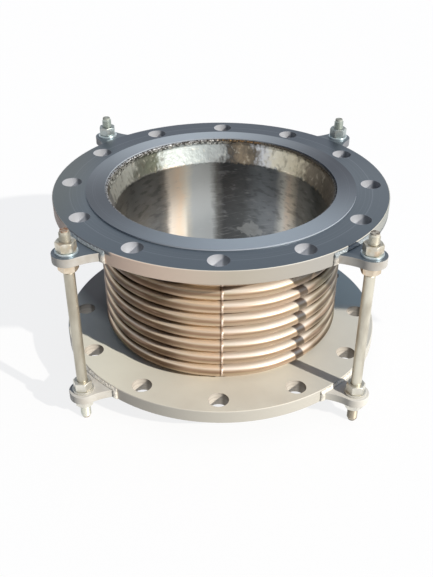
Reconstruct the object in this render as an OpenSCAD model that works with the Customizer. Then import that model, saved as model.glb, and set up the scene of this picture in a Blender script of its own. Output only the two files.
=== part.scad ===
// Flanged expansion joint: a round metal bellows between two drilled plate flanges,
// with an inner flow sleeve and four tie rods held by nuts in lugs on the flange rims.
// Z runs along the pipe axis. Z = 0 is the plane of the lower rod ends.

/* [Flanges] */
// Outside diameter of each flange
flange_d = 390; // [350:1:460]
// Thickness of the plate at the rim
plate_t = 16.5; // [14.5:0.5:30]
// Diameter of the bore through each flange
bore_d = 270; // [200:1:290]
// Width of plate between the raised sealing face and the circle of bolt holes
face_margin = 18; // [15:0.5:24]
// Height of the raised sealing face
face_h = 1.5; // [0.5:0.5:4]
// Bevel turned on the corners of the rim
rim_bevel = 0.8; // [0.2:0.1:2]

/* [Bolt holes] */
// Distance from the circle of bolt holes to the rim
bolt_margin = 20; // [16:0.5:26]
// Number of bolt holes in each flange
bolt_count = 12; // [4:4:16]
// Diameter of each bolt hole
bolt_hole_d = 23; // [12:0.5:26]

/* [Bellows] */
// Number of convolutions
conv_count = 9; // [5:1:14]
// Distance from one crest to the next
conv_pitch = 17.4; // [16:0.1:24]
// Outside width of a crest
crest_w = 12.6; // [9:0.1:13.2]
// Radial height of a convolution
conv_h = 16.4; // [13:0.1:19]
// Wall of the bellows
bellows_t = 1; // [0.6:0.1:1.2]
// How far the roots lie inside the end cuffs
root_drop = 5.1; // [3.5:0.1:7]
// Distance from a flange's back to the first crest
neck_l = 6.1; // [5:0.1:14]
// Rolling clearance between a cuff and its flange bore
cuff_clear = 0.3; // [0.2:0.05:0.6]

/* [Flow sleeve] */
// Wall of the sleeve
sleeve_t = 1.2; // [0.8:0.1:1.8]
// Straight lip at the welded end
sleeve_lip_l = 2; // [1:0.5:5]
// Length of the cone that leads into the tube
sleeve_cone_l = 25; // [18:0.5:27]
// Clearance between the sleeve's lip and the bellows cuff
lip_clear = 0.3; // [0.2:0.05:0.6]
// Clearance between the sleeve's tube and the bellows roots
sleeve_clear = 1.4; // [0.8:0.1:4]
// Distance from the sleeve's free end to the lower flange
sleeve_end_gap = 20; // [8:1:50]

/* [Lugs] */
// Thickness of a lug
lug_t = 10; // [6:0.5:12]
// Depth of a lug's upper face below its flange's upper side
lug_drop = 4; // [1:0.25:4.5]
// Radius of the lug's round end
lug_end_r = 16; // [14:0.5:20]
// Half the lug's width where it meets the rim
lug_root_half = 27; // [24:0.5:34]
// Radius of the hollow sides between root and round end
lug_side_r = 60; // [50:5:120]
// Distance from the flange rim to the rod's centre
rod_offset = 23; // [21:0.5:34]
// Diameter of the rod hole in a lug
lug_hole_d = 14; // [13:0.5:18]
// Leg of the weld between lug and rim
lug_weld_leg = 3; // [2:0.25:3.75]

/* [Tie rods] */
// Diameter of a tie rod
rod_d = 12; // [8:0.5:12.5]
// Diameter of a rod's blunt tip
rod_tip_d = 9; // [5:0.5:10]
// Length of the taper at each rod end
rod_tip_l = 3.5; // [1:0.5:6]
// Free rod end above the upper nuts
rod_top_free = 12; // [9:0.5:40]
// Free rod end below the lower nuts
rod_bottom_free = 19; // [8:0.5:40]

/* [Nuts and washers] */
// Width of a nut across its flats
nut_flats = 19; // [17:0.5:22]
// Height of a nut
nut_h = 10.8; // [8:0.1:14]
// Running clearance between a rod and its nuts, on the radius
nut_clear = 0.05; // [0.02:0.01:0.09]
// Outside diameter of a washer
washer_d = 24; // [20:0.5:25]
// Hole in a washer
washer_hole_d = 13; // [13:0.1:14]
// Thickness of a washer
washer_t = 2.5; // [1.5:0.25:4]

/* [Bore welds] */
// Depth of the cuff and sleeve edges below the sealing face
edge_depth = 3.5; // [2.5:0.25:6]
// Height of the weld bead laid on those edges
bore_weld_h = 2; // [1:0.25:2.25]

/* [Hidden] */
$fn = 144;

// Lugs stand midway between the front, side and back directions
lug_count = 4;
lug_first = 45;
lug_step = 360 / lug_count;
// Bolt holes straddle the lugs, so that a spanner reaches every bolt
bolt_step = 360 / bolt_count;
bolt_first = lug_first - bolt_step / 2;
// Length by which a cut runs past the face that it opens
cut_over = 1;
// Gap left in drawing between pieces that are welded or laid together on a curve
seat_gap = 0.02;

// Radii that several pieces share
flange_r = flange_d / 2;
bore_r = bore_d / 2;
bolt_circle_r = flange_r - bolt_margin;
face_r = bolt_circle_r - face_margin;
rod_circle_r = flange_r + rod_offset;
cuff_out_r = bore_r - cuff_clear;
cuff_in_r = cuff_out_r - bellows_t;
root_out_r = cuff_out_r - root_drop;
root_in_r = root_out_r - bellows_t;
crest_out_r = root_in_r + conv_h;
sleeve_lip_r = cuff_in_r - lip_clear;
sleeve_tube_r = root_in_r - sleeve_clear;

// Bends of the bellows wall, taken on its outer side
crest_bend_out = crest_w / 2;
root_bend_out = (conv_pitch - crest_w) / 2;
crest_bend_r = crest_out_r - crest_bend_out;
root_bend_r = root_out_r + root_bend_out;
neck_bend_r = cuff_out_r + root_bend_out;
flange_gap = 2 * neck_l + (conv_count - 1) * conv_pitch + crest_w;

// Heights, from the lower rod ends upwards
lower_lug_z = rod_bottom_free + nut_h;
lower_back_z = lower_lug_z + lug_t + lug_drop;
lower_face_z = lower_back_z - plate_t - face_h;
upper_back_z = lower_back_z + flange_gap;
upper_face_z = upper_back_z + plate_t + face_h;
upper_lug_z = upper_back_z + plate_t - lug_drop - lug_t;
lower_washer_z = lower_lug_z + lug_t;
lower_inner_nut_z = lower_washer_z + washer_t;
upper_inner_nut_z = upper_lug_z - nut_h;
upper_washer_z = upper_lug_z + lug_t;
upper_outer_nut_z = upper_washer_z + washer_t;
rod_l = upper_outer_nut_z + nut_h + rod_top_free;
first_crest_z = lower_back_z + neck_l + crest_bend_out;
cuff_bottom_z = lower_face_z + edge_depth;
cuff_top_z = upper_face_z - edge_depth;
sleeve_end_z = lower_back_z + sleeve_end_gap;

// Colours: dark blue-grey on the gasket sides, warm silver paint on the backs
paint_blue = "slategray";
paint_silver = "antiquewhite";
bellows_gold = "tan";
steel = "gainsboro";
zinc = "beige";
weld_grey = "darkgray";

// Places copies of a piece at the four rods, or at one of them
module at_lug(index) {
    rotate([0, 0, lug_first + (index - 1) * lug_step])
        children();
}

module at_rods(turns = [0, 0, 0, 0]) {
    for (index = [1:lug_count])
        at_lug(index)
            translate([rod_circle_r, 0, 0])
                rotate([0, 0, turns[index - 1]])
                    children();
}

// One flange with its back at z = 0 and its raised face upwards
module flange_plate() {
    plate_profile = [
        [bore_r, 0],
        [flange_r - rim_bevel, 0],
        [flange_r, rim_bevel],
        [flange_r, plate_t - rim_bevel],
        [flange_r - rim_bevel, plate_t],
        [face_r, plate_t],
        [face_r, plate_t + face_h],
        [bore_r, plate_t + face_h],
    ];
    difference() {
        rotate_extrude()
            polygon(plate_profile);
        for (hole = [0:bolt_count - 1])
            rotate([0, 0, bolt_first + hole * bolt_step])
                translate([bolt_circle_r, 0, -cut_over])
                    cylinder(h = plate_t + 2 * cut_over, d = bolt_hole_d);
    }
}

module lower_flange() {
    color(paint_silver)
        translate([0, 0, lower_back_z])
            mirror([0, 0, 1])
                flange_plate();
}

module upper_flange() {
    color(paint_blue)
        translate([0, 0, upper_back_z])
            flange_plate();
}

// Points along an arc, from one angle to another, both included
bend_steps = 10;
function arc_points(centre, radius, from, to) = [
    for (step = [0:bend_steps])
        let (turn = from + (to - from) * step / bend_steps)
        centre + radius * [cos(turn), sin(turn)]
];

// One side of the bellows wall, read upwards. shift is 0 on the outer side of the
// wall and its thickness on the inner side, which widens roots and narrows crests.
function crest_side(index, shift) = arc_points(
    [crest_bend_r, first_crest_z + index * conv_pitch], crest_bend_out - shift, -90, 90);
function root_side(index, shift) = arc_points(
    [root_bend_r, first_crest_z + (index + 0.5) * conv_pitch], root_bend_out + shift, 270, 90);
function lower_neck_side(shift) = arc_points(
    [neck_bend_r, lower_back_z + neck_l - root_bend_out], root_bend_out + shift, 180, 90);
function upper_neck_side(shift) = arc_points(
    [neck_bend_r, upper_back_z - neck_l + root_bend_out], root_bend_out + shift, 270, 180);
function wall_side(shift) = concat(
    [[cuff_out_r - shift, cuff_bottom_z]],
    lower_neck_side(shift),
    [for (index = [0:conv_count - 1])
        for (point = index < conv_count - 1
            ? concat(crest_side(index, shift), root_side(index, shift))
            : crest_side(index, shift))
            point],
    upper_neck_side(shift),
    [[cuff_out_r - shift, cuff_top_z]]);
function reversed(points) = [for (i = [len(points) - 1:-1:0]) points[i]];

// Rolled bellows: convolutions between two cuffs that line the flange bores
module bellows() {
    color(bellows_gold)
        rotate_extrude()
            polygon(concat(wall_side(0), reversed(wall_side(bellows_t))));
}

// Sleeve that keeps the flow off the convolutions, welded at its upper lip only
module flow_sleeve() {
    lip_z = cuff_top_z - sleeve_lip_l;
    cone_z = lip_z - sleeve_cone_l;
    color(steel)
        rotate_extrude()
            polygon([
                [sleeve_tube_r, sleeve_end_z],
                [sleeve_tube_r, cone_z],
                [sleeve_lip_r, lip_z],
                [sleeve_lip_r, cuff_top_z],
                [sleeve_lip_r - sleeve_t, cuff_top_z],
                [sleeve_lip_r - sleeve_t, lip_z],
                [sleeve_tube_r - sleeve_t, cone_z],
                [sleeve_tube_r - sleeve_t, sleeve_end_z],
            ]);
}

// Lug outline along +X, up to the rim that its root is cut to. The hollow sides are
// arcs that touch the round end and pass through the root corners.
root_corner = [sqrt(flange_r * flange_r - lug_root_half * lug_root_half), lug_root_half];
end_centre = [rod_circle_r, 0];
function far_crossing(a, ra, b, rb) =
    let (apart = norm(b - a), along = (apart * apart + ra * ra - rb * rb) / (2 * apart))
    let (across = sqrt(ra * ra - along * along), unit = (b - a) / apart)
    a + along * unit + across * [-unit[1], unit[0]];
side_centre = far_crossing(root_corner, lug_side_r, end_centre, lug_side_r + lug_end_r);

module lug_outline() {
    difference() {
        union() {
            polygon([
                [root_corner[0] - cut_over, -root_corner[1]],
                [root_corner[0], -root_corner[1]],
                [side_centre[0], -side_centre[1]],
                end_centre,
                side_centre,
                root_corner,
                [root_corner[0] - cut_over, root_corner[1]],
            ]);
            translate(end_centre)
                circle(r = lug_end_r);
        }
        for (side = [-1, 1])
            translate([side_centre[0], side * side_centre[1]])
                circle(r = lug_side_r);
        translate(end_centre)
            circle(d = lug_hole_d);
        circle(r = flange_r + seat_gap);
    }
}

module lug(index, z, paint) {
    color(paint)
        translate([0, 0, z])
            at_lug(index)
                linear_extrude(lug_t)
                    lug_outline();
}

module lower_lug_1() { lug(1, lower_lug_z, paint_silver); }
module lower_lug_2() { lug(2, lower_lug_z, paint_silver); }
module lower_lug_3() { lug(3, lower_lug_z, paint_silver); }
module lower_lug_4() { lug(4, lower_lug_z, paint_silver); }
module upper_lug_1() { lug(1, upper_lug_z, paint_blue); }
module upper_lug_2() { lug(2, upper_lug_z, paint_blue); }
module upper_lug_3() { lug(3, upper_lug_z, paint_blue); }
module upper_lug_4() { lug(4, upper_lug_z, paint_blue); }

// Fillet weld all round a lug's root: a bead along the rim above and below the lug,
// and one up each of its sides. The beads run past the root by their own leg.
weld_half_angle = asin((lug_root_half + lug_weld_leg) / flange_r);
module rim_bead(leg, up) {
    bead_r = flange_r + seat_gap;
    rotate([0, 0, -weld_half_angle])
        rotate_extrude(angle = 2 * weld_half_angle)
            polygon([[bead_r, 0], [bead_r + leg, 0], [bead_r, up * leg]]);
}

module side_beads() {
    linear_extrude(lug_t)
        difference() {
            for (side = [-1, 1])
                translate([root_corner[0], side * root_corner[1]])
                    circle(r = lug_weld_leg);
            circle(r = flange_r + seat_gap);
            lug_outline();
        }
}

module lug_weld(low_leg) {
    translate([0, 0, lug_t])
        rim_bead(lug_weld_leg, 1);
    rim_bead(min(lug_weld_leg, low_leg), -1);
    side_beads();
}

module lug_welds(lug_z, low_leg) {
    color(weld_grey)
        translate([0, 0, lug_z])
            for (index = [1:lug_count])
                at_lug(index)
                    lug_weld(low_leg);
}

module lower_lug_welds() { lug_welds(lower_lug_z, plate_t - lug_drop - lug_t); }
module upper_lug_welds() { lug_welds(upper_lug_z, plate_t - lug_drop - lug_t); }

// Bead that joins flange, cuff and sleeve inside the bore, laid on their edges
module bore_weld(edge_z, inner_r) {
    color(weld_grey)
        translate([0, 0, edge_z])
            rotate_extrude()
                polygon([
                    [inner_r, 0],
                    [bore_r - seat_gap, 0],
                    [bore_r - seat_gap, bore_weld_h],
                    [(inner_r + bore_r) / 2, bore_weld_h],
                    [inner_r, bore_weld_h / 2],
                ]);
}

module lower_bore_weld() {
    translate([0, 0, 2 * cuff_bottom_z])
        mirror([0, 0, 1])
            bore_weld(cuff_bottom_z, cuff_in_r);
}

module upper_bore_weld() { bore_weld(cuff_top_z, sleeve_lip_r - sleeve_t); }

// Tie rod: round bar with tapered ends
module tie_rod(index) {
    rod_r = rod_d / 2;
    tip_r = rod_tip_d / 2;
    color(zinc)
        at_lug(index)
            translate([rod_circle_r, 0, 0])
                rotate_extrude()
                    polygon([
                        [0, 0],
                        [tip_r, 0],
                        [rod_r, rod_tip_l],
                        [rod_r, rod_l - rod_tip_l],
                        [tip_r, rod_l],
                        [0, rod_l],
                    ]);
}

module tie_rod_1() { tie_rod(1); }
module tie_rod_2() { tie_rod(2); }
module tie_rod_3() { tie_rod(3); }
module tie_rod_4() { tie_rod(4); }

// Hexagon nut on z = 0, with the corners of both faces turned off at 30 degrees
module nut() {
    corner_r = nut_flats / sqrt(3);
    turned_r = nut_flats / 2 * 0.97;
    turned_h = (corner_r - turned_r) * tan(30);
    bore_at = rod_d / 2 + nut_clear;
    difference() {
        intersection() {
            cylinder(h = nut_h, r = corner_r, $fn = 6);
            rotate_extrude()
                polygon([
                    [0, 0],
                    [turned_r, 0],
                    [corner_r, turned_h],
                    [corner_r, nut_h - turned_h],
                    [turned_r, nut_h],
                    [0, nut_h],
                ]);
        }
        translate([0, 0, -cut_over])
            cylinder(h = nut_h + 2 * cut_over, r = bore_at);
    }
}

// The four nuts of one level, each turned as it happened to be tightened
module nuts(z, turns) {
    color(zinc)
        translate([0, 0, z])
            at_rods(turns)
                nut();
}

module lower_outer_nuts() { nuts(lower_lug_z - nut_h, [40, 5, 52, 30]); }
module lower_inner_nuts() { nuts(lower_inner_nut_z, [22, 51, 10, 47]); }
module upper_inner_nuts() { nuts(upper_inner_nut_z, [8, 41, 32, 20]); }
module upper_outer_nuts() { nuts(upper_outer_nut_z, [16, 19, 28, 25]); }

module washers(z) {
    color(steel)
        translate([0, 0, z])
            at_rods()
                difference() {
                    cylinder(h = washer_t, d = washer_d);
                    translate([0, 0, -cut_over])
                        cylinder(h = washer_t + 2 * cut_over, d = washer_hole_d);
                }
}

module lower_washers() { washers(lower_washer_z); }
module upper_washers() { washers(upper_washer_z); }

lower_flange();
upper_flange();
bellows();
flow_sleeve();
lower_lug_1();
lower_lug_2();
lower_lug_3();
lower_lug_4();
upper_lug_1();
upper_lug_2();
upper_lug_3();
upper_lug_4();
lower_lug_welds();
upper_lug_welds();
lower_bore_weld();
upper_bore_weld();
tie_rod_1();
tie_rod_2();
tie_rod_3();
tie_rod_4();
lower_outer_nuts();
lower_inner_nuts();
upper_inner_nuts();
upper_outer_nuts();
lower_washers();
upper_washers();
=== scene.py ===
import math

import bpy
from mathutils import Matrix, Vector, noise


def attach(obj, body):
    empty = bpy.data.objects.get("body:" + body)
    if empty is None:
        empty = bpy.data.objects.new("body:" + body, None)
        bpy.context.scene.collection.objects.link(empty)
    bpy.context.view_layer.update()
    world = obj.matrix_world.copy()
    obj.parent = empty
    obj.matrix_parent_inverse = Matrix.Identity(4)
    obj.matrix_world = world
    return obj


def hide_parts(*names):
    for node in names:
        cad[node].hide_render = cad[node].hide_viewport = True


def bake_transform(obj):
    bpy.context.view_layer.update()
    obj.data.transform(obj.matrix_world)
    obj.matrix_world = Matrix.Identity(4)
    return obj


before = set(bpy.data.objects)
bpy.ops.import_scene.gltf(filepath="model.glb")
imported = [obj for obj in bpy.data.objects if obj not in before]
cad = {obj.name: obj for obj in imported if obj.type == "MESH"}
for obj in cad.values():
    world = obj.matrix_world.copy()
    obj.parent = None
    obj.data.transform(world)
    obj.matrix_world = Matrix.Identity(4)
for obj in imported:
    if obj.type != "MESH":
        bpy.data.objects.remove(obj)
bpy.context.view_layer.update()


# Camera
# The joint is seen from the front and about 33 degrees above, from a metre away,
# with the whole of it standing free in a tall picture.
camera_place = (0.0091, -0.8240, 0.6149)
towards_camera = Vector((0.01462, -0.83731, 0.54653))
lens_length = 48.12
film_width = 36

bpy.ops.object.select_all(action="DESELECT")
bpy.ops.object.camera_add(location=camera_place)
camera = bpy.context.object
camera.rotation_mode = "QUATERNION"
camera.rotation_quaternion = (-towards_camera).to_track_quat("-Z", "Y")
camera.data.lens = lens_length
camera.data.sensor_width = film_width
camera.data.sensor_fit = "AUTO"
bpy.context.scene.camera = camera
bpy.context.scene.view_settings.view_transform = "Standard"


# Floor, room and lamp
# The joint stands on the tips of its tie rods on a white floor. One warm lamp from the right, in front,
# throws the shadows, and a pale cool room fills them.
class Field:
    """A socket in a material. Sums on it become Math nodes, and node() adds any other node."""

    def __init__(self, tree, socket=None):
        self.tree = tree
        self.socket = socket

    def node(self, kind, settings=None, sockets=None, output=0):
        made = self.tree.nodes.new("ShaderNode" + kind)
        for name, value in (settings or {}).items():
            if name == "stops":
                elements = made.color_ramp.elements
                while len(elements) < len(value):
                    elements.new(0.5)
                for element, (place, colour) in zip(elements, value):
                    element.position = place
                    element.color = (*colour, 1)
            else:
                setattr(made, name, value)
        for key, value in (sockets or {}).items():
            if isinstance(value, Field):
                self.tree.links.new(value.socket, made.inputs[key])
            else:
                made.inputs[key].default_value = value
        return Field(self.tree, made.outputs[output] if made.outputs else None)

    def math(self, operation, *values):
        return self.node("Math", {"operation": operation}, dict(enumerate(values)))

    def __add__(self, other):
        return self.math("ADD", self, other)

    __radd__ = __add__

    def __sub__(self, other):
        return self.math("SUBTRACT", self, other)

    def __rsub__(self, other):
        return self.math("SUBTRACT", other, self)

    def __mul__(self, other):
        return self.math("MULTIPLY", self, other)

    __rmul__ = __mul__

    def __neg__(self):
        return self * -1

    def __truediv__(self, other):
        return self.math("DIVIDE", self, other)

    def __pow__(self, other):
        return self.math("POWER", self, other)

    def __abs__(self):
        return self.math("ABSOLUTE", self)


def along(place, axis):
    """The x, y or z of a place, as axis 0, 1 or 2: to the right, to the back and up."""
    return place.node("SeparateXYZ", None, {0: place}, output=axis)


def step(value, low, high):
    """0 below low, 1 above high, and a soft step between."""
    return value.node("MapRange", {"interpolation_type": "SMOOTHSTEP"}, {0: value, 1: low, 2: high})


def mixed(share, first, second):
    """A colour between two, by a share from 0 to 1."""
    ends = [c if isinstance(c, Field) else (*c, 1) for c in (first, second)]
    return share.node("Mix", {"data_type": "RGBA"}, {0: share, 6: ends[0], 7: ends[1]}, output=2)


def seen_rays(start):
    """1 for rays from the camera and for those that metal or glass turns, and 0 for lighting."""
    kinds = ("Is Camera Ray", "Is Glossy Ray", "Is Transmission Ray", "Diffuse Depth")
    direct, glossy, through_glass, matt_turns = (start.node("LightPath", output=kind) for kind in kinds)
    seen = direct.math("MAXIMUM", direct.math("MAXIMUM", direct, glossy), through_glass)
    return seen * direct.math("LESS_THAN", matt_turns, 0.5)


def srgb(*parts):
    """A colour from its 0 to 255 parts as seen on a screen."""
    return tuple(((p / 255 + 0.055) / 1.055) ** 2.4 if p > 10 else p / 3294.6 for p in parts)


white = (1, 1, 1)
floor_size = 14
floor_pale = srgb(176, 176, 174)
floor_white = srgb(252, 252, 252)
floor_glow = 0.84
mirrored_glow = 0.35

bpy.ops.mesh.primitive_plane_add(size=floor_size)
floor = bpy.context.object
floor.name = "floor"
bpy.ops.object.mode_set(mode="EDIT")
bpy.ops.mesh.subdivide(number_cuts=3)
bpy.ops.object.mode_set(mode="OBJECT")

floor_paint = bpy.data.materials.new("floor_paint")
floor_paint.use_nodes = True
floor_paint.node_tree.nodes.clear()
start = Field(floor_paint.node_tree)
seen = seen_rays(start)
matt = start.node("BsdfDiffuse", None, {"Color": mixed(seen, floor_pale, floor_white)})
mirrored = start.node("LightPath", output="Is Glossy Ray")
glow = start.node("Emission", None, {"Color": (*white, 1), "Strength": mirrored * mirrored_glow + 1})
surface = start.node("MixShader", None, {0: seen * floor_glow, 1: matt, 2: glow})
start.node("OutputMaterial", None, {"Surface": surface})
floor_paint.cycles.emission_sampling = "NONE"
floor.data.materials.append(floor_paint)

# The room gives most of its light from above, behind and the right. Seen itself, it is white,
# with a grey top.
room_blue = (0.60, 0.73, 1.0)
room_strength = 0.26
room_lowest = 0.12
room_rise = 1.7
sky_grey = srgb(150, 163, 178)

room = bpy.data.worlds.new("room")
bpy.context.scene.world = room
room.use_nodes = True
room.cycles.sampling_method = "NONE"
room.node_tree.nodes.clear()
start = Field(room.node_tree)
way = start.node("TexCoord", output=0)
right, behind, height = (along(way, axis) for axis in range(3))
lit = step(height * 0.8 + behind * 0.35 + right * 0.5, -0.2, 0.8)
fill_strength = (lit * room_rise + room_lowest) * room_strength
fill = start.node("Background", None, {"Color": (*room_blue, 1), "Strength": fill_strength})
sky = mixed(step(height, 0.28, 0.6) * step(behind, -0.5, 0.25), white, sky_grey)
shown = start.node("Background", None, {"Color": sky, "Strength": 1.0})
surface = start.node("MixShader", None, {0: seen_rays(start), 1: fill, 2: shown})
start.node("OutputWorld", None, {"Surface": surface})

lamp_place = (1.6, -1.2, 1.6)
lamp_bearing = math.radians(-36)
lamp_height = math.radians(30)
lamp_spread = math.radians(1.2)
lamp_strength = 4.7
lamp_warm = (1.0, 0.945, 0.86)

bpy.ops.object.light_add(type="SUN", location=lamp_place)
lamp = bpy.context.object
lamp.data.energy = lamp_strength
lamp.data.angle = lamp_spread
lamp.data.color = lamp_warm
towards_lamp = Vector(
    (
        math.cos(lamp_bearing) * math.cos(lamp_height),
        math.sin(lamp_bearing) * math.cos(lamp_height),
        math.sin(lamp_height),
    )
)
lamp.rotation_mode = "QUATERNION"
lamp.rotation_quaternion = towards_lamp.to_track_quat("Z", "Y")

# A black flag near the lamp keeps it off the right of the bellows' top and of the lower flange.
flag_distance = 0.5
flag_outline = (
    (-0.026, 0.076), (0.022, 0.036), (0.086, -0.016), (0.160, -0.076),
    (0.215, -0.030), (0.215, 0.060), (0.095, 0.094), (0.000, 0.083),
)
flag_across = Vector((0, 0, 1)).cross(towards_lamp).normalized()
flag_up = towards_lamp.cross(flag_across)
bpy.ops.mesh.primitive_circle_add(vertices=len(flag_outline), fill_type="NGON")
flag = bpy.context.object
flag.name = "lamp_flag"
for vertex, (across, up) in zip(flag.data.vertices, flag_outline):
    vertex.co = towards_lamp * flag_distance + flag_across * across + flag_up * up
flag.visible_camera = False
flag.visible_glossy = False
flag.visible_diffuse = False
flag.visible_transmission = False


# Upper flange
# A flat steel ring with twelve drilled bolt holes. Its sealing side is turned smooth and dark,
# and its rim and back have a thin coat of silver paint.
mm = 0.001
plate_top = 224.3 * mm
face_rise = 1.5 * mm
rim_start = 194.4 * mm
bolt_circle = 175 * mm
bolt_hole = 11.5 * mm
holes_apart = math.radians(30)
upper_lug_top = 220.3 * mm
front_left_lug = -135
gleam_bearing = math.radians(-70)

silver = srgb(213, 209, 196)
silver_worn = srgb(206, 201, 188)
turned_grey = srgb(121, 129, 136)
turned_shaded_back = srgb(92, 101, 112)
turned_dull = srgb(110, 114, 120)
turned_shaded_right = srgb(92, 96, 104)
turned_gleam_and_lines = srgb(192, 200, 207)
turned_bright = srgb(190, 196, 202)
turned_olive = srgb(124, 126, 116)
scribed_line = srgb(222, 226, 230)
ledge_grey = srgb(166, 174, 184)
drilled = srgb(190, 193, 199)
hole_shadow_blue = srgb(88, 95, 104)
# The rim's silver paint round the joint, at angles in degrees, with painted light and shade: paler at the
# front-left and darker at the far left and the right.
rim_lit_and_shaded_bands = (
    (-180, (112, 98, 92)), (-152, (120, 98, 88)), (-142, (236, 212, 194)), (-120, (242, 216, 197)),
    (-100, (208, 192, 177)), (-86, (180, 173, 160)), (-60, (162, 160, 155)), (-38, (158, 158, 154)),
    (-12, (112, 118, 114)), (30, (112, 116, 114)), (120, (150, 148, 142)), (180, (112, 98, 92)),
)


def painted(name, look, **constants):
    """A metal finish: look gives the shader's varying sockets from a point's place on the joint."""
    finish = bpy.data.materials.new(name)
    finish.use_nodes = True
    shader = finish.node_tree.nodes["Principled BSDF"]
    for key, value in constants.items():
        shader.inputs[key.replace("_", " ")].default_value = value
    place = Field(finish.node_tree).node("TexCoord", output=3)
    for key, value in look(place).items():
        finish.node_tree.links.new(value.socket, shader.inputs[key])
    return finish


def below(value, low, high):
    """1 below low, 0 above high, and a soft step between."""
    return 1 - step(value, low, high)


def near(turn, degrees, inside, outside):
    """1 up to inside degrees from a bearing, and 0 past outside degrees from it."""
    return below(abs(turn - math.radians(degrees)), math.radians(inside), math.radians(outside))


def reach(place):
    """Distance from the joint's axis."""
    return (along(place, 0) ** 2 + along(place, 1) ** 2) ** 0.5


def bearing(place):
    """Angle round the joint's axis, in radians."""
    return place.math("ARCTAN2", along(place, 1), along(place, 0))


def cloud(place, scale, detail=3.0):
    """Soft random noise from 0 to 1, scale of its spots to a metre."""
    return place.node("TexNoise", None, {"Vector": place, "Scale": scale, "Detail": detail})


def patches(place, scale, detail=3.0, low=0.35, high=0.7):
    """Random patches: 0 between them, 1 on them, and soft at their edges."""
    return step(cloud(place, scale, detail), low, high)


def mixed_number(share, first, second):
    """A number between two, by a share from 0 to 1."""
    return first + (second - first) * share


def bumps(height, distance, strength=1.0):
    """A roughened normal, from heights of 0 to 1 that stand for a distance."""
    return height.node("Bump", None, {"Height": height, "Distance": distance, "Strength": strength})


def bands(turn, stops):
    """Colours laid round the axis, at angles in degrees."""
    share = turn / (2 * math.pi) + 0.5
    settings = {"stops": [(degrees / 360 + 0.5, srgb(*colour)) for degrees, colour in stops]}
    return share.node("ValToRGB", settings, {0: share})


def turning_lines(place):
    """Fine uneven rings round the axis, as a lathe tool leaves them."""
    return cloud(reach(place).node("CombineXYZ", None, {0: reach(place)}), 620, 4)


def drill_lines(place):
    """Fine level rings on a hole's wall, as a drill leaves them."""
    return cloud(along(place, 2).node("CombineXYZ", None, {2: along(place, 2)}), 700, 3)


def in_bolt_hole(place):
    """1 on the walls of the twelve drilled holes."""
    turn = bearing(place).math("PINGPONG", bearing(place), holes_apart / 2)
    away = reach(place)
    across = away * turn.math("SINE", turn)
    out = away * turn.math("COSINE", turn) - bolt_circle
    return below((across**2 + out**2) ** 0.5, bolt_hole + 0.1 * mm, bolt_hole + 0.3 * mm)


def hole_shadow_side(place):
    """1 on the side of each bolt hole's wall towards +x, where the hole's shadow is painted dark."""
    turn = bearing(place) + holes_apart / 2
    hole = turn.math("SNAP", turn, holes_apart)
    return step(along(place, 0) - hole.math("COSINE", hole) * bolt_circle, 2 * mm, 6 * mm)


def silver_coat(place):
    """Thin silver paint: nearly even, a little warmer in cloudy patches."""
    return mixed(patches(place, 22), silver, silver_worn)


def upper_flange_look(place):
    """Turned steel on top with painted highlight and shade, painted rim and back with painted light and
    shade on the rim, and drilled walls in the bolt holes with painted shadow.
    """
    right = along(place, 0)
    up = along(place, 2)
    high = step(up, plate_top - 0.15 * mm, plate_top - 0.02 * mm)
    raised = step(up, plate_top + face_rise - 0.08 * mm, plate_top + face_rise - 0.02 * mm)
    ledge = step(up, plate_top + 0.05 * mm, plate_top + 0.1 * mm) - raised
    rings = turning_lines(place)
    scribed = below(abs(reach(place) - bolt_circle), 0.15 * mm, 0.45 * mm)
    # Painted highlight and shade: the raised face gleams along gleam_bearing and is darker to the right,
    # and the flat face is darker at the back.
    gleam = (bearing(place) - gleam_bearing) * 2
    gleam = gleam.math("COSINE", gleam) * 0.5 + 0.5
    flat = mixed(step(along(place, 1), 0, 160 * mm), turned_grey, turned_shaded_back)
    dimmer = mixed(step(right, 60 * mm, 140 * mm), turned_dull, turned_shaded_right)
    turned = mixed(raised, flat, mixed(gleam, dimmer, turned_gleam_and_lines))
    turned = mixed(step(rings, 0.55, 0.75) * 0.3, turned, turned_bright)
    turned = mixed(scribed * (1 - raised) * 0.18, turned, scribed_line)
    turned = mixed(step(-right, 140 * mm, 185 * mm) * 0.45 * (1 - raised), turned, turned_olive)
    rim = step(reach(place), rim_start, rim_start + 0.3 * mm)
    # The rim's colours round the joint are its paint with painted light and shade.
    coat = mixed(rim, silver_coat(place), bands(bearing(place), rim_lit_and_shaded_bands))
    over_lug = step(up, upper_lug_top - 1.3 * mm, upper_lug_top + 0.7 * mm)
    coat = mixed(near(bearing(place), front_left_lug, 10, 12) * over_lug, coat, turned_dull)
    face = mixed(high, coat, mixed(ledge, turned, ledge_grey))
    hole = in_bolt_hole(place)
    # Painted shadow on the side of each hole's wall towards +x.
    hole_wall = mixed(hole_shadow_side(place) * 0.9, drilled, hole_shadow_blue)
    grain = cloud(place, 1400, 2)
    return {
        "Base Color": mixed(hole, face, hole_wall),
        "Metallic": mixed_number(hole, high * (1 - ledge), 0.3),
        "Roughness": mixed_number(hole, 0.52 - 0.2 * high + 0.12 * rings * high, 0.4),
        "Normal": bumps(drill_lines(place) * hole + rings * high + grain * (1 - high), 0.03 * mm, 0.6),
    }


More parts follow.
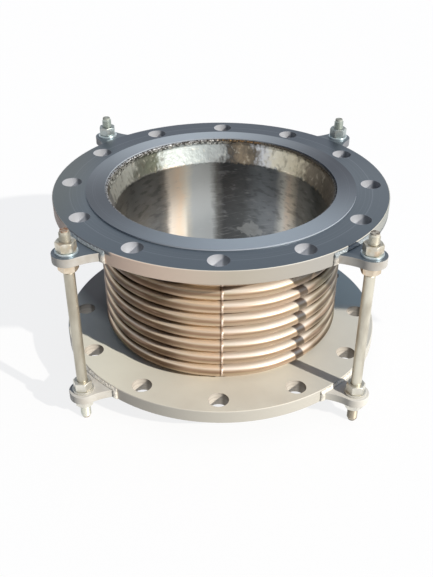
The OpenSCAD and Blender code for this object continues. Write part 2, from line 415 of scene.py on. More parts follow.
def smooth_copy(name, node):
    """A node's solids as a piece of the scene, with their loose facets joined and shaded round."""
    bpy.ops.object.select_all(action="DESELECT")
    piece = cad[node].copy()
    piece.data = cad[node].data.copy()
    piece.parent = None
    for key in list(piece.keys()):
        del piece[key]
    bpy.context.scene.collection.objects.link(piece)
    piece.select_set(True)
    bpy.context.view_layer.objects.active = piece
    piece.name = name
    piece.data.name = name
    piece.data.materials.clear()
    bpy.ops.object.mode_set(mode="EDIT")
    bpy.ops.mesh.customdata_custom_splitnormals_clear()
    bpy.ops.mesh.select_all(action="SELECT")
    bpy.ops.mesh.remove_doubles(threshold=0.002 * mm)
    bpy.ops.object.mode_set(mode="OBJECT")
    bpy.ops.object.shade_smooth_by_angle(angle=math.radians(28))
    return piece


def fitted(piece, body, finish, node):
    """Gives a piece its finish and body, in place of the node that it stands for."""
    piece.data.materials.clear()
    piece.data.materials.append(finish)
    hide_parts(node)
    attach(piece, body)


upper_ring = smooth_copy("upper_flange_ring", "upper_flange")
upper_ring_finish = painted("turned_steel", upper_flange_look)
fitted(upper_ring, "upper", upper_ring_finish, "upper_flange")


# Lower flange
# The same drilled ring turned over: its painted back looks up, round the foot of the bellows,
# and its sealing side looks down.
lower_face = 27.3 * mm

silver_lit_cream = srgb(234, 233, 218)
silver_shaded_grey = srgb(192, 194, 190)
silver_shade_blue = srgb(190, 214, 214)
shade_near_bellows = srgb(66, 60, 60)
shade_farther_out = srgb(108, 99, 96)
rim_silver = srgb(192, 189, 180)
rim_lit_cream = srgb(214, 208, 198)
drilled_warm = srgb(206, 199, 188)
drilled_brown = srgb(150, 142, 130)
hole_shadow_brown = srgb(84, 74, 60)


def lower_flange_look(place):
    """Silver paint with painted light and shade: paler on the left, greyer and bluer on the right, and
    shaded dark near the bellows on the left; turned steel underneath, and drilled walls in the holes with
    painted shadow.
    """
    right = along(place, 0)
    back = along(place, 1)
    low = below(along(place, 2), lower_face + 0.02 * mm, lower_face + 0.15 * mm)
    turned = mixed(turning_lines(place) * 0.5, turned_grey, turned_gleam_and_lines)
    # Painted light and shade on the silver paint: paler on the left, greyer on the right, bluish at the
    # right back, and darkest near the foot of the bellows on the left.
    left = step(-right, 60 * mm, 130 * mm)
    coat = mixed(left * 0.6, silver_coat(place), silver_lit_cream)
    coat = mixed(step(right, 70 * mm, 140 * mm) * 0.5, coat, silver_shaded_grey)
    blue_shade = step(right, 60 * mm, 120 * mm) * step(back, 0, 20 * mm)
    coat = mixed(blue_shade * 0.6, coat, silver_shade_blue)
    painted_shade = left * below(reach(place) - back * 0.9, 144 * mm, 184 * mm)
    shade_tone = mixed(step(reach(place), 146 * mm, 172 * mm), shade_near_bellows, shade_farther_out)
    coat = mixed(painted_shade * 0.84, coat, shade_tone)
    # The rim is painted paler on the left, as light.
    rim = step(reach(place), rim_start, rim_start + 0.3 * mm)
    coat = mixed(rim, coat, mixed(left, rim_silver, rim_lit_cream))
    hole = in_bolt_hole(place)
    hole_wall = mixed(step(drill_lines(place), 0.46, 0.58) * 0.45, drilled_warm, drilled_brown)
    # Painted shadow on the side of each hole's wall towards +x.
    hole_wall = mixed(hole_shadow_side(place) * 0.8, hole_wall, hole_shadow_brown)
    grain = cloud(place, 1400, 2)
    return {
        "Base Color": mixed(hole, mixed(low, coat, turned), hole_wall),
        "Metallic": mixed_number(hole, low, 0.15),
        "Roughness": 0.5 + 0.12 * cloud(place, 60) - 0.14 * hole,
        "Normal": bumps(drill_lines(place) * hole * 3 + grain, 0.03 * mm, 0.6),
    }


lower_ring = smooth_copy("lower_flange_ring", "lower_flange")
lower_ring_finish = painted("silver_painted_steel", lower_flange_look)
fitted(lower_ring, "lower", lower_ring_finish, "lower_flange")


# Lugs
# Eight flat ears cut from 10 mm plate, four on each flange, with hollow sides and a round nose
# where a tie rod passes. Their cut edges are slightly broken.
edge_break = 0.5 * mm
lower_lug_top = 41.3 * mm

lug_silver = srgb(184, 182, 177)
lug_silver_worn = srgb(173, 168, 160)
lug_shaded = srgb(92, 98, 108)
lug_pale = srgb(230, 228, 220)
lug_cream = srgb(210, 210, 198)


def broken_edges(piece, width, angle=40):
    """Rounds the sharp outside edges of a piece, as a file or a die leaves them."""
    bpy.ops.object.select_all(action="DESELECT")
    piece.select_set(True)
    bpy.context.view_layer.objects.active = piece
    rounded = piece.modifiers.new("edges", "BEVEL")
    rounded.width = width
    rounded.segments = 2
    rounded.limit_method = "ANGLE"
    rounded.angle_limit = math.radians(angle)
    rounded.use_clamp_overlap = False
    bpy.ops.object.modifier_apply(modifier="edges")
    bpy.ops.object.shade_smooth_by_angle(angle=math.radians(32))
    return piece


def at_back(place):
    """0 on pieces in front of the joint's middle, and 1 on those behind it."""
    return step(along(place, 1), 0, 100 * mm)


def at_right(place):
    """0 on pieces left of the joint's middle, and 1 on those right of it."""
    return step(along(place, 0), -50 * mm, 50 * mm)


def lug_coat(place):
    """The grey silver paint of a lug, with small worn patches."""
    return mixed(patches(place, 90), lug_silver, lug_silver_worn)


def upper_lug_look(place):
    """Painted sides, with painted shade on the lugs at the back, under a bare grey top."""
    high = step(along(place, 2), upper_lug_top - 0.3 * mm, upper_lug_top - 0.1 * mm)
    sides = mixed(at_back(place) * 0.85, lug_coat(place), lug_shaded)
    return {
        "Base Color": mixed(high, sides, turned_grey),
        "Metallic": high * 0.9,
        "Roughness": 0.48 - 0.08 * high + 0.1 * cloud(place, 150),
        "Normal": bumps(cloud(place, 700, 3), 0.05 * mm, 0.5),
    }


def lower_lug_look(place):
    """Silver paint with paler random patches, and paler on the right as painted light, with a cream top.
    """
    high = step(along(place, 2), lower_lug_top - 0.3 * mm, lower_lug_top - 0.1 * mm)
    pale_patches_and_light = (cloud(place, 40) * 0.4 + 0.4) * (0.5 + 0.5 * at_right(place))
    sides = mixed(pale_patches_and_light, lug_coat(place), lug_pale)
    return {
        "Base Color": mixed(high, sides, lug_cream),
        "Roughness": 0.5 + 0.1 * cloud(place, 150),
        "Normal": bumps(cloud(place, 500, 3), 0.08 * mm, 0.6),
    }


lug_finish = {
    "upper": painted("plate_steel_dark_topped", upper_lug_look),
    "lower": painted("plate_steel_silver", lower_lug_look),
}
for side in ("upper", "lower"):
    for corner in range(1, 5):
        solid = f"{side}_lug_{corner}"
        ear = broken_edges(smooth_copy(f"{side}_ear_{corner}", solid), edge_break)
        fitted(ear, side, lug_finish[side], solid)


# Bellows
# Nine deep waves rolled into a thin stainless tube, with a straight cuff at each end that passes
# into the flange's bore. The tube was welded along one line before rolling. Lengths are in millimetres.
wall = 1.0
cuff_out = 134.7
neck_centre = 137.1
crest_centre = 138.7
root_centre = 132.0
crest_bend = 6.3
root_bend = 2.4
first_crest = 56.2
wave = 17.4
waves = 9
cuff_ends = (29.3, 222.3)
round_steps = 240
groove_depth = 5
groove_turn = 10
seam_bearing = math.radians(-88.6)

seam_brown = srgb(96, 62, 40)
upper_right_shadow = srgb(66, 60, 52)
flange_shade = srgb(66, 52, 42)
rosy_streak = srgb(216, 184, 162)
green_streak = srgb(176, 176, 140)
# Painted highlights, reflections and shade round each wave, at angles in degrees from level, with the
# groove's walls past 90 on both sides. Each table is for a part of the joint as the lamp lights it.
sunlit_tones = (
    (-150, (194, 172, 148)), (-57, (184, 161, 136)), (-30, (198, 178, 155)), (-5, (180, 157, 132)),
    (16, (132, 108, 84)), (32, (160, 139, 117)), (46, (226, 216, 204)), (60, (248, 241, 232)),
    (95, (220, 208, 194)), (150, (202, 182, 160)),
)
front_lit_tones = (
    (-150, (255, 236, 208)), (-57, (228, 202, 174)), (-30, (232, 210, 186)), (-10, (202, 178, 150)),
    (5, (148, 121, 96)), (20, (140, 113, 90)), (33, (162, 137, 112)), (50, (226, 207, 185)),
    (75, (246, 232, 214)), (150, (255, 236, 208)),
)
half_lit_tones = (
    (-150, (140, 116, 92)), (-50, (124, 100, 78)), (-20, (138, 112, 88)), (0, (92, 70, 50)),
    (20, (84, 62, 44)), (36, (96, 74, 54)), (50, (226, 208, 186)), (75, (250, 238, 222)),
    (95, (226, 208, 186)), (115, (140, 116, 92)),
)
shade_side_tones = (
    (-150, (58, 40, 26)), (-30, (62, 44, 29)), (0, (64, 45, 30)), (24, (70, 50, 35)),
    (40, (134, 108, 86)), (55, (255, 234, 206)), (72, (222, 194, 162)), (88, (86, 65, 46)),
    (150, (58, 41, 28)),
)
shaded_tones = (
    (-150, (96, 80, 62)), (-36, (128, 114, 94)), (-14, (158, 144, 122)), (2, (84, 70, 54)),
    (26, (86, 72, 56)), (42, (132, 118, 98)), (56, (214, 202, 182)), (76, (180, 166, 144)),
    (92, (96, 80, 62)), (150, (86, 70, 54)),
)


def bend(centre, height, radius, first, last, pieces):
    """Points of an arc in the outline of a turned shape, angles in degrees."""
    turns = [math.radians(first + (last - first) * i / pieces) for i in range(pieces + 1)]
    return [(centre + radius * math.cos(t), height + radius * math.sin(t)) for t in turns]


def bellows_side(inset):
    """The outline of the bellows' wall from foot to top, at a depth under its outer skin."""
    crest = crest_bend - inset
    root = root_bend + inset
    middle = first_crest - crest_bend - root_bend
    side = [(cuff_out - inset, cuff_ends[0])]
    side += bend(neck_centre, middle, root, 180, 90, 4)
    for k in range(waves):
        height = first_crest + wave * k
        side += bend(crest_centre, height, crest, -90, 90, 10)
        if k < waves - 1:
            side += bend(root_centre, height + wave / 2, root, 270, 90, 6)
    side += bend(neck_centre, middle + wave * waves, root, 270, 180, 4)
    side.append((cuff_out - inset, cuff_ends[1]))
    return side


def drawn(name, outline):
    """A line in the plane of radius and height, drawn point after point and left in edit mode."""
    points = [Vector((r * mm, 0, z * mm)) for r, z in outline]
    bpy.ops.object.select_all(action="DESELECT")
    bpy.ops.mesh.primitive_plane_add(size=mm, location=(0, 0, 0))
    piece = bpy.context.object
    piece.name = name
    piece.data.name = name
    bpy.ops.object.mode_set(mode="EDIT")
    bpy.ops.mesh.merge(type="CENTER")
    bpy.ops.transform.translate(value=points[0])
    for before, after in zip(points, points[1:]):
        bpy.ops.mesh.extrude_region_move(TRANSFORM_OT_translate={"value": after - before})
    return piece


def spun(name, outline, steps):
    """A closed outline turned once round the joint's axis."""
    piece = drawn(name, outline + outline[:1])
    bpy.ops.mesh.select_all(action="SELECT")
    bpy.ops.mesh.spin(steps=steps, angle=2 * math.pi, center=(0, 0, 0), axis=(0, 0, 1))
    bpy.ops.mesh.select_all(action="SELECT")
    bpy.ops.mesh.remove_doubles(threshold=0.001 * mm)
    bpy.ops.mesh.normals_make_consistent(inside=False)
    bpy.ops.object.mode_set(mode="OBJECT")
    bpy.ops.object.shade_smooth_by_angle(angle=math.radians(40))
    return piece


def keep_wave_turns(piece):
    """Keeps each point's turn round its own wave, as a share of a circle, and its depth in the groove."""
    turns = piece.data.attributes.new("wave_turns", "FLOAT_COLOR", "POINT")
    for vertex, value in zip(piece.data.vertices, turns.data):
        out = math.hypot(vertex.co.x, vertex.co.y) / mm - crest_centre
        offset = (vertex.co.z / mm - first_crest + wave / 2) % wave - wave / 2
        turn = math.degrees(math.atan2(offset, max(out, 0.001)))
        # Down the groove's walls the turn goes on, by groove_turn degrees to a millimetre.
        turn += math.copysign(groove_turn * max(-out, 0), offset)
        value.color = (turn / 360 + 0.5, min(max(-out / groove_depth, 0), 1), 0, 1)


def stretched(place, *scale):
    """A place with its x, y and z scaled, so that a pattern on it is drawn out."""
    return place.node("VectorMath", {"operation": "MULTIPLY"}, {0: place, 1: scale})


def past(turn, low, high):
    """0 before one bearing and 1 after another, both in degrees."""
    return step(turn, math.radians(low), math.radians(high))


def bellows_look(place):
    """Golden stainless: bands of painted highlight, reflection and shade round each wave, which change
    round the joint, with painted shadow at the top and random streaks.
    """
    kept = place.node("Attribute", {"attribute_name": "wave_turns"})
    side = (along(kept, 0) - 0.5) * (2 * math.pi)
    deep = along(kept, 1)
    up = along(place, 2)
    from_seam = bearing(place) - seam_bearing
    right_of_seam = step(from_seam, -0.01, 0.02)
    turn = bearing(place) + (cloud(stretched(place, 1, 1, 4), 24, 2) - 0.5) * math.radians(10)
    # Painted highlights, reflections and shade: each wave's bands change round the joint, dark on the
    # left, bright right of the seam and duller further right.
    dimmer = bands(side, shade_side_tones)
    front = bands(side, front_lit_tones)
    colour = mixed(past(turn, -144, -126), dimmer, bands(side, half_lit_tones))
    colour = mixed(past(turn, -117, -101), colour, front)
    colour = mixed(right_of_seam, colour, bands(side, sunlit_tones))
    colour = mixed(past(turn, -48, -38), colour, bands(side, shaded_tones))
    # Painted shadow at the top right, and painted shade under the upper flange on the left.
    in_upper_right_shadow = step(up, 118 * mm, 168 * mm) * past(turn, -56, -40)
    colour = mixed(in_upper_right_shadow * 0.78, colour, upper_right_shadow)
    under_flange = step(up, 120 * mm, 195 * mm) * (1 - past(turn, -138, -122))
    colour = mixed(under_flange * 0.7, colour, flange_shade)
    colour = mixed(past(turn, 20, 50), colour, front)
    colour = mixed(past(turn, 140, 170), colour, dimmer)
    streaks = cloud(stretched(place, 1, 1, 9), 22, 3)
    colour = mixed(step(streaks, 0.52, 0.7) * 0.25, colour, rosy_streak)
    colour = mixed(below(streaks, 0.3, 0.46) * 0.2, colour, green_streak)
    # Browner near the seam, most at the bottom of the grooves, and in a line just left of it.
    tinted = below(abs(from_seam), 0.006, 0.045) * deep * 0.8
    seam_side_line = below(abs(from_seam + 0.012), 0.004, 0.010) * 0.55
    front_side = 1 - past(side, 24, 48)
    bright_side = right_of_seam * (1 - past(turn, -44, -34))
    return {
        "Base Color": mixed(seam_side_line.math("MAXIMUM", seam_side_line, tinted), colour, seam_brown),
        "Metallic": 0.62 - 0.3 * bright_side,
        "Roughness": 0.27 + 0.12 * cloud(stretched(place, 1, 1, 12), 30, 3) + 0.16 * front_side,
        "Normal": bumps(cloud(stretched(place, 1, 1, 14), 60, 3), 0.12 * mm, 0.4),
    }


def bends_between_flanges(piece):
    """Bakes a piece's placing into its mesh."""
    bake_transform(piece)


bellows = spun("bellows_waves", bellows_side(0) + bellows_side(wall)[::-1], round_steps)
keep_wave_turns(bellows)
bellows.data.materials.append(painted("golden_stainless", bellows_look))
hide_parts("bellows")
bends_between_flanges(bellows)

# The tube's long weld runs over every wave, from one neck to the other.
seam_half = 1.0 * mm
seam_thick = 0.5 * mm
seam_rise = 0.3
neck_points = 6
seam_pale = srgb(246, 230, 216)
seam_tan = srgb(206, 184, 164)


def seam_look(place):
    """Speckled weld, brown at the bottom of the grooves."""
    root = below(reach(place), 132.5 * mm, 136.5 * mm)
    specks = patches(place, 700, 2, 0.4, 0.6)
    return {
        "Base Color": mixed(root, mixed(specks, seam_pale, seam_tan), seam_brown),
        "Roughness": 0.3 + 0.2 * specks,
        "Normal": bumps(cloud(place, 900, 2), 0.1 * mm, 0.6),
    }


seam = drawn("bellows_seam", bellows_side(-seam_rise)[neck_points:-neck_points])
bpy.ops.mesh.select_all(action="SELECT")
bpy.ops.transform.translate(value=(0, -seam_half, 0))
bpy.ops.mesh.extrude_region_move(TRANSFORM_OT_translate={"value": (0, 2 * seam_half, 0)})
bpy.ops.mesh.select_all(action="SELECT")
bpy.ops.mesh.normals_make_consistent(inside=False)
bpy.ops.object.mode_set(mode="OBJECT")
bead = seam.modifiers.new("bead", "SOLIDIFY")
bead.thickness = seam_thick
bead.offset = 0
bpy.ops.object.modifier_apply(modifier="bead")
broken_edges(seam, 0.2 * mm, 60)
seam.data.transform(Matrix.Rotation(seam_bearing, 4, "Z"))
seam.data.materials.append(painted("bellows_seam_weld", seam_look, Metallic=0.6))
bends_between_flanges(seam)


# Flow sleeve
# A polished stainless tube inside the bellows, held by its flared top, which lies in the flange's
# bore under the ring weld. Its lower end hangs free. Its outline is in millimetres.
sleeve_wall = 1.2
sleeve_out = 127.2
sleeve_foot = 63.8
flare_foot = 193.0
flare_bend = 10.0
lip_out = 133.4
lip_foot = 219.6
lip_top = 222.3

# Painted reflections in its polish, and a rubbed patch, with their bearings in degrees.
reflected_streak = 119
reflected_band = 104
flare_reflection = 109
rubbed_patch = 71
patch_height = 97 * mm
patch_half = 18 * mm

mottle_dark = srgb(70, 72, 74)
mottle_light = srgb(150, 152, 154)
deep_shade_grey = srgb(66, 68, 68)
rubbed_grey = srgb(186, 188, 188)
patch_grey = srgb(160, 162, 160)
haze_brown = srgb(92, 86, 78)
haze_cream = srgb(214, 208, 192)
spatter_black = srgb(58, 54, 50)
spatter_brown = srgb(120, 108, 88)
spatter_pale = srgb(214, 214, 208)
# Painted reflections: upright bands in the polish of the tube and of its flare, at angles in degrees.
reflection_bands = (
    (-180, (150, 150, 148)), (-150, (196, 196, 194)), (-30, (196, 196, 194)), (-4, (130, 130, 128)),
    (10, (108, 109, 106)), (25, (114, 117, 116)), (38, (124, 126, 126)), (43, (208, 202, 190)),
    (47, (236, 222, 206)), (51, (220, 220, 214)), (56, (140, 145, 150)), (66, (128, 133, 137)),
    (76, (90, 92, 93)), (89, (72, 72, 73)), (93, (120, 120, 118)), (97, (204, 208, 208)),
    (108, (212, 216, 216)), (112, (246, 240, 226)), (117, (255, 232, 206)), (123, (252, 240, 224)),
    (127, (160, 154, 146)), (131, (132, 131, 128)), (156, (150, 150, 148)), (180, (150, 150, 148)),
)
flare_reflection_bands = (
    (-180, (160, 160, 160)), (-30, (160, 160, 160)), (0, (120, 112, 102)), (12, (116, 108, 98)),
    (34, (136, 128, 116)), (42, (206, 199, 180)), (58, (216, 213, 200)), (66, (208, 212, 219)),
    (71, (112, 106, 97)), (79, (146, 133, 115)), (87, (84, 82, 80)), (93, (170, 175, 176)),
    (104, (176, 184, 185)), (125, (172, 179, 178)), (131, (96, 100, 88)), (143, (110, 112, 104)),
    (150, (184, 186, 180)), (180, (190, 190, 184)),
)


def sleeve_side(inset):
    """The sleeve's outline from its free end to its lip, at a depth under its outer skin."""
    side = [(sleeve_out - inset, sleeve_foot)]
    side += bend(sleeve_out + flare_bend, flare_foot, flare_bend + inset, 180, 160, 4)
    side += bend(lip_out - flare_bend, lip_foot, flare_bend - inset, -16, 0, 4)
    side.append((lip_out - inset, lip_top))
    return side


def unrolled(across, upward):
    """The sleeve's wall laid flat: a place for a pattern, from a turn and a height."""
    return across.node("CombineXYZ", None, {0: across, 1: upward})


def sleeve_look(place):
    """Rolled and polished sheet: upright bands of painted reflection, worn crosswise, with painted shade
    deep down, a hazy flare of painted reflections and a few rubs.
    """
    turn = bearing(place)
    up = along(place, 2)
    wander = cloud(place, 26, 3) - 0.5
    ragged = cloud(stretched(place, 1, 1, 0.7), 190, 4) - 0.5
    upright = cloud(unrolled(turn * 9, up * 40), 2.2, 4) - 0.5
    fine = cloud(unrolled(turn * 2, up * 900), 1.0, 2)

    mottle = cloud(unrolled(turn * 8, up * 130), 1.0, 4)
    streak = near(turn, reflected_streak, 5, 8)
    band = near(turn, reflected_band, 9, 13)
    clear = streak.math("MAXIMUM", streak, band)
    clear = clear.math("MAXIMUM", clear, 1 - past(turn, 0, 20))
    rubs = patches(unrolled(turn, up * 120 + turn * 5), 3.4, 4, 0.56, 0.72) * 0.12
    smears = patches(unrolled(turn * 3, up * 90), 2.0, 4, 0.6, 0.78) * 0.34
    patch = abs(turn - math.radians(rubbed_patch)) / math.radians(12)
    patch = patch + abs(up - patch_height) / patch_half + ragged + wander
    # Painted reflections: upright bands round the tube, with a bright streak and band.
    tube = bands(turn + wander * 0.09 + (fine - 0.5) * 0.05 + upright * 0.05, reflection_bands)
    tube = mixed(step(mottle, 0.5, 0.64) * 0.4 * (1 - clear), tube, mottle_dark)
    tube = mixed(below(mottle, 0.3, 0.44) * 0.35 * (1 - clear), tube, mottle_light)
    # Painted shade deep down the tube, away from the bright streak.
    tube = mixed(below(up, 90 * mm, 165 * mm) * 0.5 * (1 - streak * 0.95), tube, deep_shade_grey)
    tube = mixed(rubs.math("MAXIMUM", rubs, smears), tube, rubbed_grey)
    tube = mixed(below(patch, 0.6, 0.8) * 0.32, tube, patch_grey)

    # Painted reflections round the flare.
    hazy = 1 - near(turn, flare_reflection, 14, 18) * 0.8
    flare = bands(turn + wander * 0.35 + ragged * 0.3, flare_reflection_bands)
    flare = mixed(step(upright, 0.0, 0.2) * 0.5 * hazy, flare, haze_brown)
    flare = mixed(step(ragged, 0.08, 0.2) * 0.35, flare, haze_cream)
    flared = up + wander * 10 * mm + ragged * 10 * mm + upright * 14 * mm
    flared = step(flared, 193.5 * mm, 197 * mm)

    left = past(abs(turn), 140, 168)
    lip = step(up + left * 7 * mm + ragged * 8 * mm + wander * 12 * mm, 219.5 * mm, 221 * mm)
    beads = patches(place, 300, 4, 0.46, 0.58)
    spatter = mixed(past(turn, 84, 98), spatter_brown, spatter_pale)
    flare = mixed(lip * 0.75, flare, mixed(beads, spatter_black, spatter))
    return {
        "Base Color": mixed(flared, tube, flare),
        "Roughness": 0.24 + 0.14 * cloud(stretched(place, 1, 1, 0.2), 60, 3) + 0.14 * flared,
        "Normal": bumps((ragged + wander + upright) * flared + beads * lip + fine * 0.1, 0.8 * mm, 0.4),
    }


sleeve = spun("flow_sleeve_polished", sleeve_side(0) + sleeve_side(sleeve_wall)[::-1], round_steps)
sleeve_finish = painted("polished_stainless", sleeve_look, Metallic=1.0)
fitted(sleeve, "upper", sleeve_finish, "flow_sleeve")


# Tie rods
# Four zinc-plated M12 rods, plain in the middle and threaded at both ends, which hold the two
# flanges at their distance. Their sawn tips are a little rusty. Lengths are in millimetres.
rod_length = 245.6
rod_circle = 218.0
rod_radius = 6.0
thread_root = 5.1
pitch = 1.75
threaded_foot = 49.0
threaded_head = 48.0
tip_radius = 4.5
tip_taper = 3.5
rod_bearings = (45, 135, 225, 315)

rust_orange = srgb(128, 86, 56)
rust_shaded_dark = srgb(70, 55, 44)
rust_shaded_grey = srgb(120, 118, 108)
zinc_pale = srgb(204, 200, 186)
zinc_tan = srgb(172, 166, 152)
zinc_brown = srgb(140, 134, 120)
zinc_shade_blue = srgb(160, 176, 174)
foot_white = srgb(236, 238, 228)
foot_brown = srgb(168, 158, 142)


def rod_look(place):
    """Zinc plate, browner on the left and painted bluer at the back as shade, with rusty tips painted
    darker on the right and grey at the back as shade.
    """
    up = along(place, 2)
    tip = below(up, 0.4 * mm, 2.4 * mm) + step(up, (rod_length - 2.2) * mm, (rod_length - 0.2) * mm)
    stain = patches(place, 300, 3, 0.4, 0.65)
    # Rusty tips, painted darker on the right and grey at the back as shade.
    rust_and_shade = mixed(at_back(place), mixed(at_right(place), rust_orange, rust_shaded_dark), rust_shaded_grey)
    zinc = mixed(patches(stretched(place, 1, 1, 0.3), 90), zinc_pale, zinc_tan)
    zinc = mixed(step(-along(place, 0), 50 * mm, 120 * mm) * 0.5, zinc, zinc_brown)
    # Painted shade: bluer at the back.
    zinc = mixed(at_back(place) * 0.6, zinc, zinc_shade_blue)
    foot = below(up, 26 * mm, 28 * mm)
    zinc = mixed(foot * 0.7, zinc, mixed(at_right(place), foot_white, foot_brown))
    return {
        "Base Color": mixed(tip * (0.35 + 0.65 * stain), zinc, rust_and_shade),
        "Metallic": 0.75 - 0.6 * tip,
        "Roughness": 0.34 + 0.2 * cloud(place, 240) + 0.2 * tip,
    }


def thread(name, low, length):
    """A screw thread's skin from a height, one tooth swept round and up a threaded length."""
    flank = 0.4 * pitch
    top = 0.1 * pitch
    tooth = [
        (thread_root, low),
        (rod_radius, low + flank),
        (rod_radius, low + flank + top),
        (thread_root, low + 2 * flank + top),
        (thread_root, low + pitch),
    ]
    piece = drawn(name, tooth)
    bpy.ops.object.mode_set(mode="OBJECT")
    sweep = piece.modifiers.new("sweep", "SCREW")
    sweep.angle = 2 * math.pi
    sweep.screw_offset = pitch * mm
    sweep.iterations = int((length - tip_taper * 0.5) / pitch) - 1
    sweep.steps = 20
    sweep.render_steps = 20
    sweep.use_merge_vertices = True
    sweep.merge_threshold = 0.001 * mm
    bpy.ops.object.modifier_apply(modifier="sweep")
    return piece


rod_finish = painted("zinc_plated_rod", rod_look)
core = [
    (0, 0),
    (tip_radius, 0),
    (thread_root, tip_taper * 0.6),
    (thread_root, threaded_foot),
    (rod_radius, threaded_foot + 1),
    (rod_radius, rod_length - threaded_head - 1),
    (thread_root, rod_length - threaded_head),
    (thread_root, rod_length - tip_taper * 0.6),
    (tip_radius, rod_length),
    (0, rod_length),
]
first_rod = spun("rod", core, 32)
teeth = [
    thread("foot_thread", tip_taper * 0.5, threaded_foot),
    thread("head_thread", rod_length - threaded_head + 0.5, threaded_head),
]
bpy.ops.object.select_all(action="DESELECT")
for part in (*teeth, first_rod):
    part.select_set(True)
bpy.context.view_layer.objects.active = first_rod
bpy.ops.object.join()
bpy.ops.object.shade_smooth_by_angle(angle=math.radians(35))
for corner, degrees in enumerate(rod_bearings, start=1):
    rod = first_rod.copy()
    rod.data = first_rod.data.copy()
    rod.name = f"threaded_rod_{corner}"
    bpy.context.scene.collection.objects.link(rod)
    turn = math.radians(degrees)
    place = Vector((rod_circle * mm * math.cos(turn), rod_circle * mm * math.sin(turn), 0))
    rod.data.transform(Matrix.Translation(place) @ Matrix.Rotation(turn, 4, "Z"))
    fitted(rod, "lower", rod_finish, f"tie_rod_{corner}")
bpy.data.objects.remove(first_rod)


# Nuts and washers
# Sixteen plated hexagon nuts, one on each side of every lug, and a flat washer under the nut
# on top of each lug.
nut_pale = srgb(206, 202, 190)
nut_tan = srgb(176, 168, 150)
nut_white = srgb(212, 211, 204)
nut_brassy = srgb(212, 188, 160)
nut_amber = srgb(210, 176, 138)
nut_shade_blue = srgb(132, 149, 156)
washer_blue = srgb(190, 204, 208)
washer_pale = srgb(220, 228, 230)
washer_dull = srgb(212, 210, 202)


def nut_look(place):
    """Cloudy zinc, paler on the lower nuts, yellower on the upper ones and painted bluer at the back as
    shade.
    """
    up = along(place, 2)
    worn = patches(place, 130)
    zinc = mixed(worn, nut_pale, nut_tan)
    zinc = mixed(below(up, 100 * mm, 150 * mm) * 0.6, zinc, nut_white)
    upper = step(up, 150 * mm, 160 * mm)
    under_lug = below(up, 212 * mm, 216 * mm)
    zinc = mixed(upper * under_lug * 0.4, zinc, nut_brassy)
    zinc = mixed(patches(place, 55, 2, 0.52, 0.6) * upper * 0.4, zinc, nut_amber)
    return {
        # Painted shade: bluer at the back.
        "Base Color": mixed(at_back(place) * 0.7, zinc, nut_shade_blue),
        "Metallic": 0.7 + 0.2 * worn,
        "Roughness": 0.3 + 0.2 * cloud(place, 320),
    }


def washer_look(place):
    """Bright bluish zinc on the upper washers, and duller zinc on the lower ones."""
    worn = patches(place, 150)
    upper = step(along(place, 2), 100 * mm, 150 * mm)
    return {
        "Base Color": mixed(upper, washer_dull, mixed(worn, washer_blue, washer_pale)),
        "Metallic": 0.75 + 0.1 * worn,
        "Roughness": 0.28 + 0.16 * cloud(place, 260),
    }


nut_finish = painted("zinc_plated_nut", nut_look)
washer_finish = painted("bright_zinc_washer", washer_look)
for side in ("lower", "upper"):
    for row in ("outer", "inner"):
        nuts = broken_edges(smooth_copy(f"{side}_{row}_hex_nuts", f"{side}_{row}_nuts"), 0.3 * mm, 35)
        fitted(nuts, side, nut_finish, f"{side}_{row}_nuts")
    rings = broken_edges(smooth_copy(f"{side}_flat_washers", f"{side}_washers"), 0.35 * mm)
    fitted(rings, side, washer_finish, f"{side}_washers")


# Lug welds and bore welds
# A fillet weld runs all round the root of each lug, and a ring of weld in each flange's bore seals
# the bellows' cuff, and at the top the sleeve's lip too. All are left as laid, rough and spattered.
bead_cell = 0.6 * mm
bead_wander = 3 * mm
bead_lumps = 1.2 * mm

weld_pale = srgb(214, 209, 200)
weld_grey = srgb(184, 179, 171)
low_weld_lit_pale = srgb(236, 232, 222)
low_weld_lit_grey = srgb(206, 201, 192)
weld_blue = srgb(118, 136, 147)
burnt_black = srgb(52, 47, 42)
# Heat colours round the ring of weld, with painted shade on its right, at angles in degrees.
ring_heat_and_shade_bands = (
    (-180, (176, 176, 176)), (-90, (150, 150, 150)), (-20, (110, 106, 100)), (10, (62, 58, 52)),
    (50, (92, 84, 72)), (66, (120, 112, 100)), (72, (120, 92, 60)), (90, (112, 92, 66)),
    (98, (150, 150, 150)), (130, (176, 178, 180)), (180, (176, 176, 176)),
)


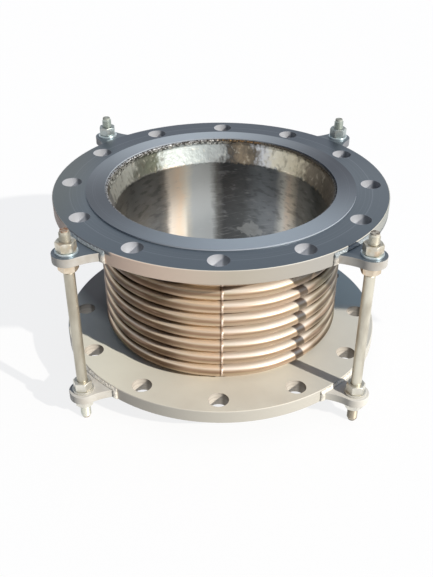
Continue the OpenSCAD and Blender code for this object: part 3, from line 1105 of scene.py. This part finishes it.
def lug_weld_look(place):
    """Silver paint on rough weld, painted paler on the lower flange as light, with bluish tops on the
    upper one.
    """
    up = along(place, 2)
    worn = patches(place, 260, 3, 0.35, 0.65)
    coat = mixed(worn, weld_pale, weld_grey)
    # Painted light: paler on the lower flange.
    coat = mixed(below(up, 90 * mm, 100 * mm), coat, mixed(worn, low_weld_lit_pale, low_weld_lit_grey))
    bare_top = step(up, 216 * mm, 220 * mm)
    return {
        "Base Color": mixed(bare_top * 0.7, coat, weld_blue),
        "Metallic": 0.1 + 0.3 * worn,
        "Roughness": 0.42 + 0.2 * cloud(place, 500),
        "Normal": bumps(cloud(place, 420, 3), 0.4 * mm, 0.7),
    }


def ring_weld_look(place):
    """Bare burnt weld, speckled black, with heat colours and painted shade round the ring."""
    specks = patches(place, 430, 4, 0.44, 0.56)
    turn = bearing(place) + (cloud(place, 60, 3) - 0.5) * 0.4
    return {
        "Base Color": mixed(specks, burnt_black, bands(turn, ring_heat_and_shade_bands)),
        "Metallic": 0.35 + 0.5 * specks,
        "Roughness": 0.3 + 0.25 * cloud(place, 500),
        "Normal": bumps(cloud(place, 420, 4), 1.2 * mm, 1.0),
    }


def laid(bead, ripple, lift):
    """Raises a bead's skin in uneven ripples along its run round the joint, as the arc leaves them."""
    bpy.context.view_layer.objects.active = bead
    grid = bead.modifiers.new("grid", "REMESH")
    grid.mode = "VOXEL"
    grid.voxel_size = bead_cell
    bpy.ops.object.modifier_apply(modifier="grid")
    raised = []
    for vertex in bead.data.vertices:
        place = vertex.co
        run = math.atan2(place.y, place.x) * place.xy.length
        wander = noise.noise(place / bead_wander)
        ripples = math.sin((run / ripple + wander) * 2 * math.pi) * 0.5
        height = ripples + noise.noise(place / bead_lumps) + wander
        raised.append(place + vertex.normal * lift * (0.4 + 0.6 * height))
    for vertex, place in zip(bead.data.vertices, raised):
        vertex.co = place
    bpy.ops.object.shade_smooth_by_angle(angle=math.radians(70))


bead_runs = (
    ("lug_welds", lug_weld_look, 3.2 * mm, 0.45 * mm),
    ("bore_weld", ring_weld_look, 2.6 * mm, 0.6 * mm),
)
for side in ("lower", "upper"):
    for run, look, ripple, lift in bead_runs:
        bead = smooth_copy(f"{side}_{run}_bead", f"{side}_{run}")
        laid(bead, ripple, lift)
        fitted(bead, side, painted(f"{side}_{run}_metal", look), f"{side}_{run}")
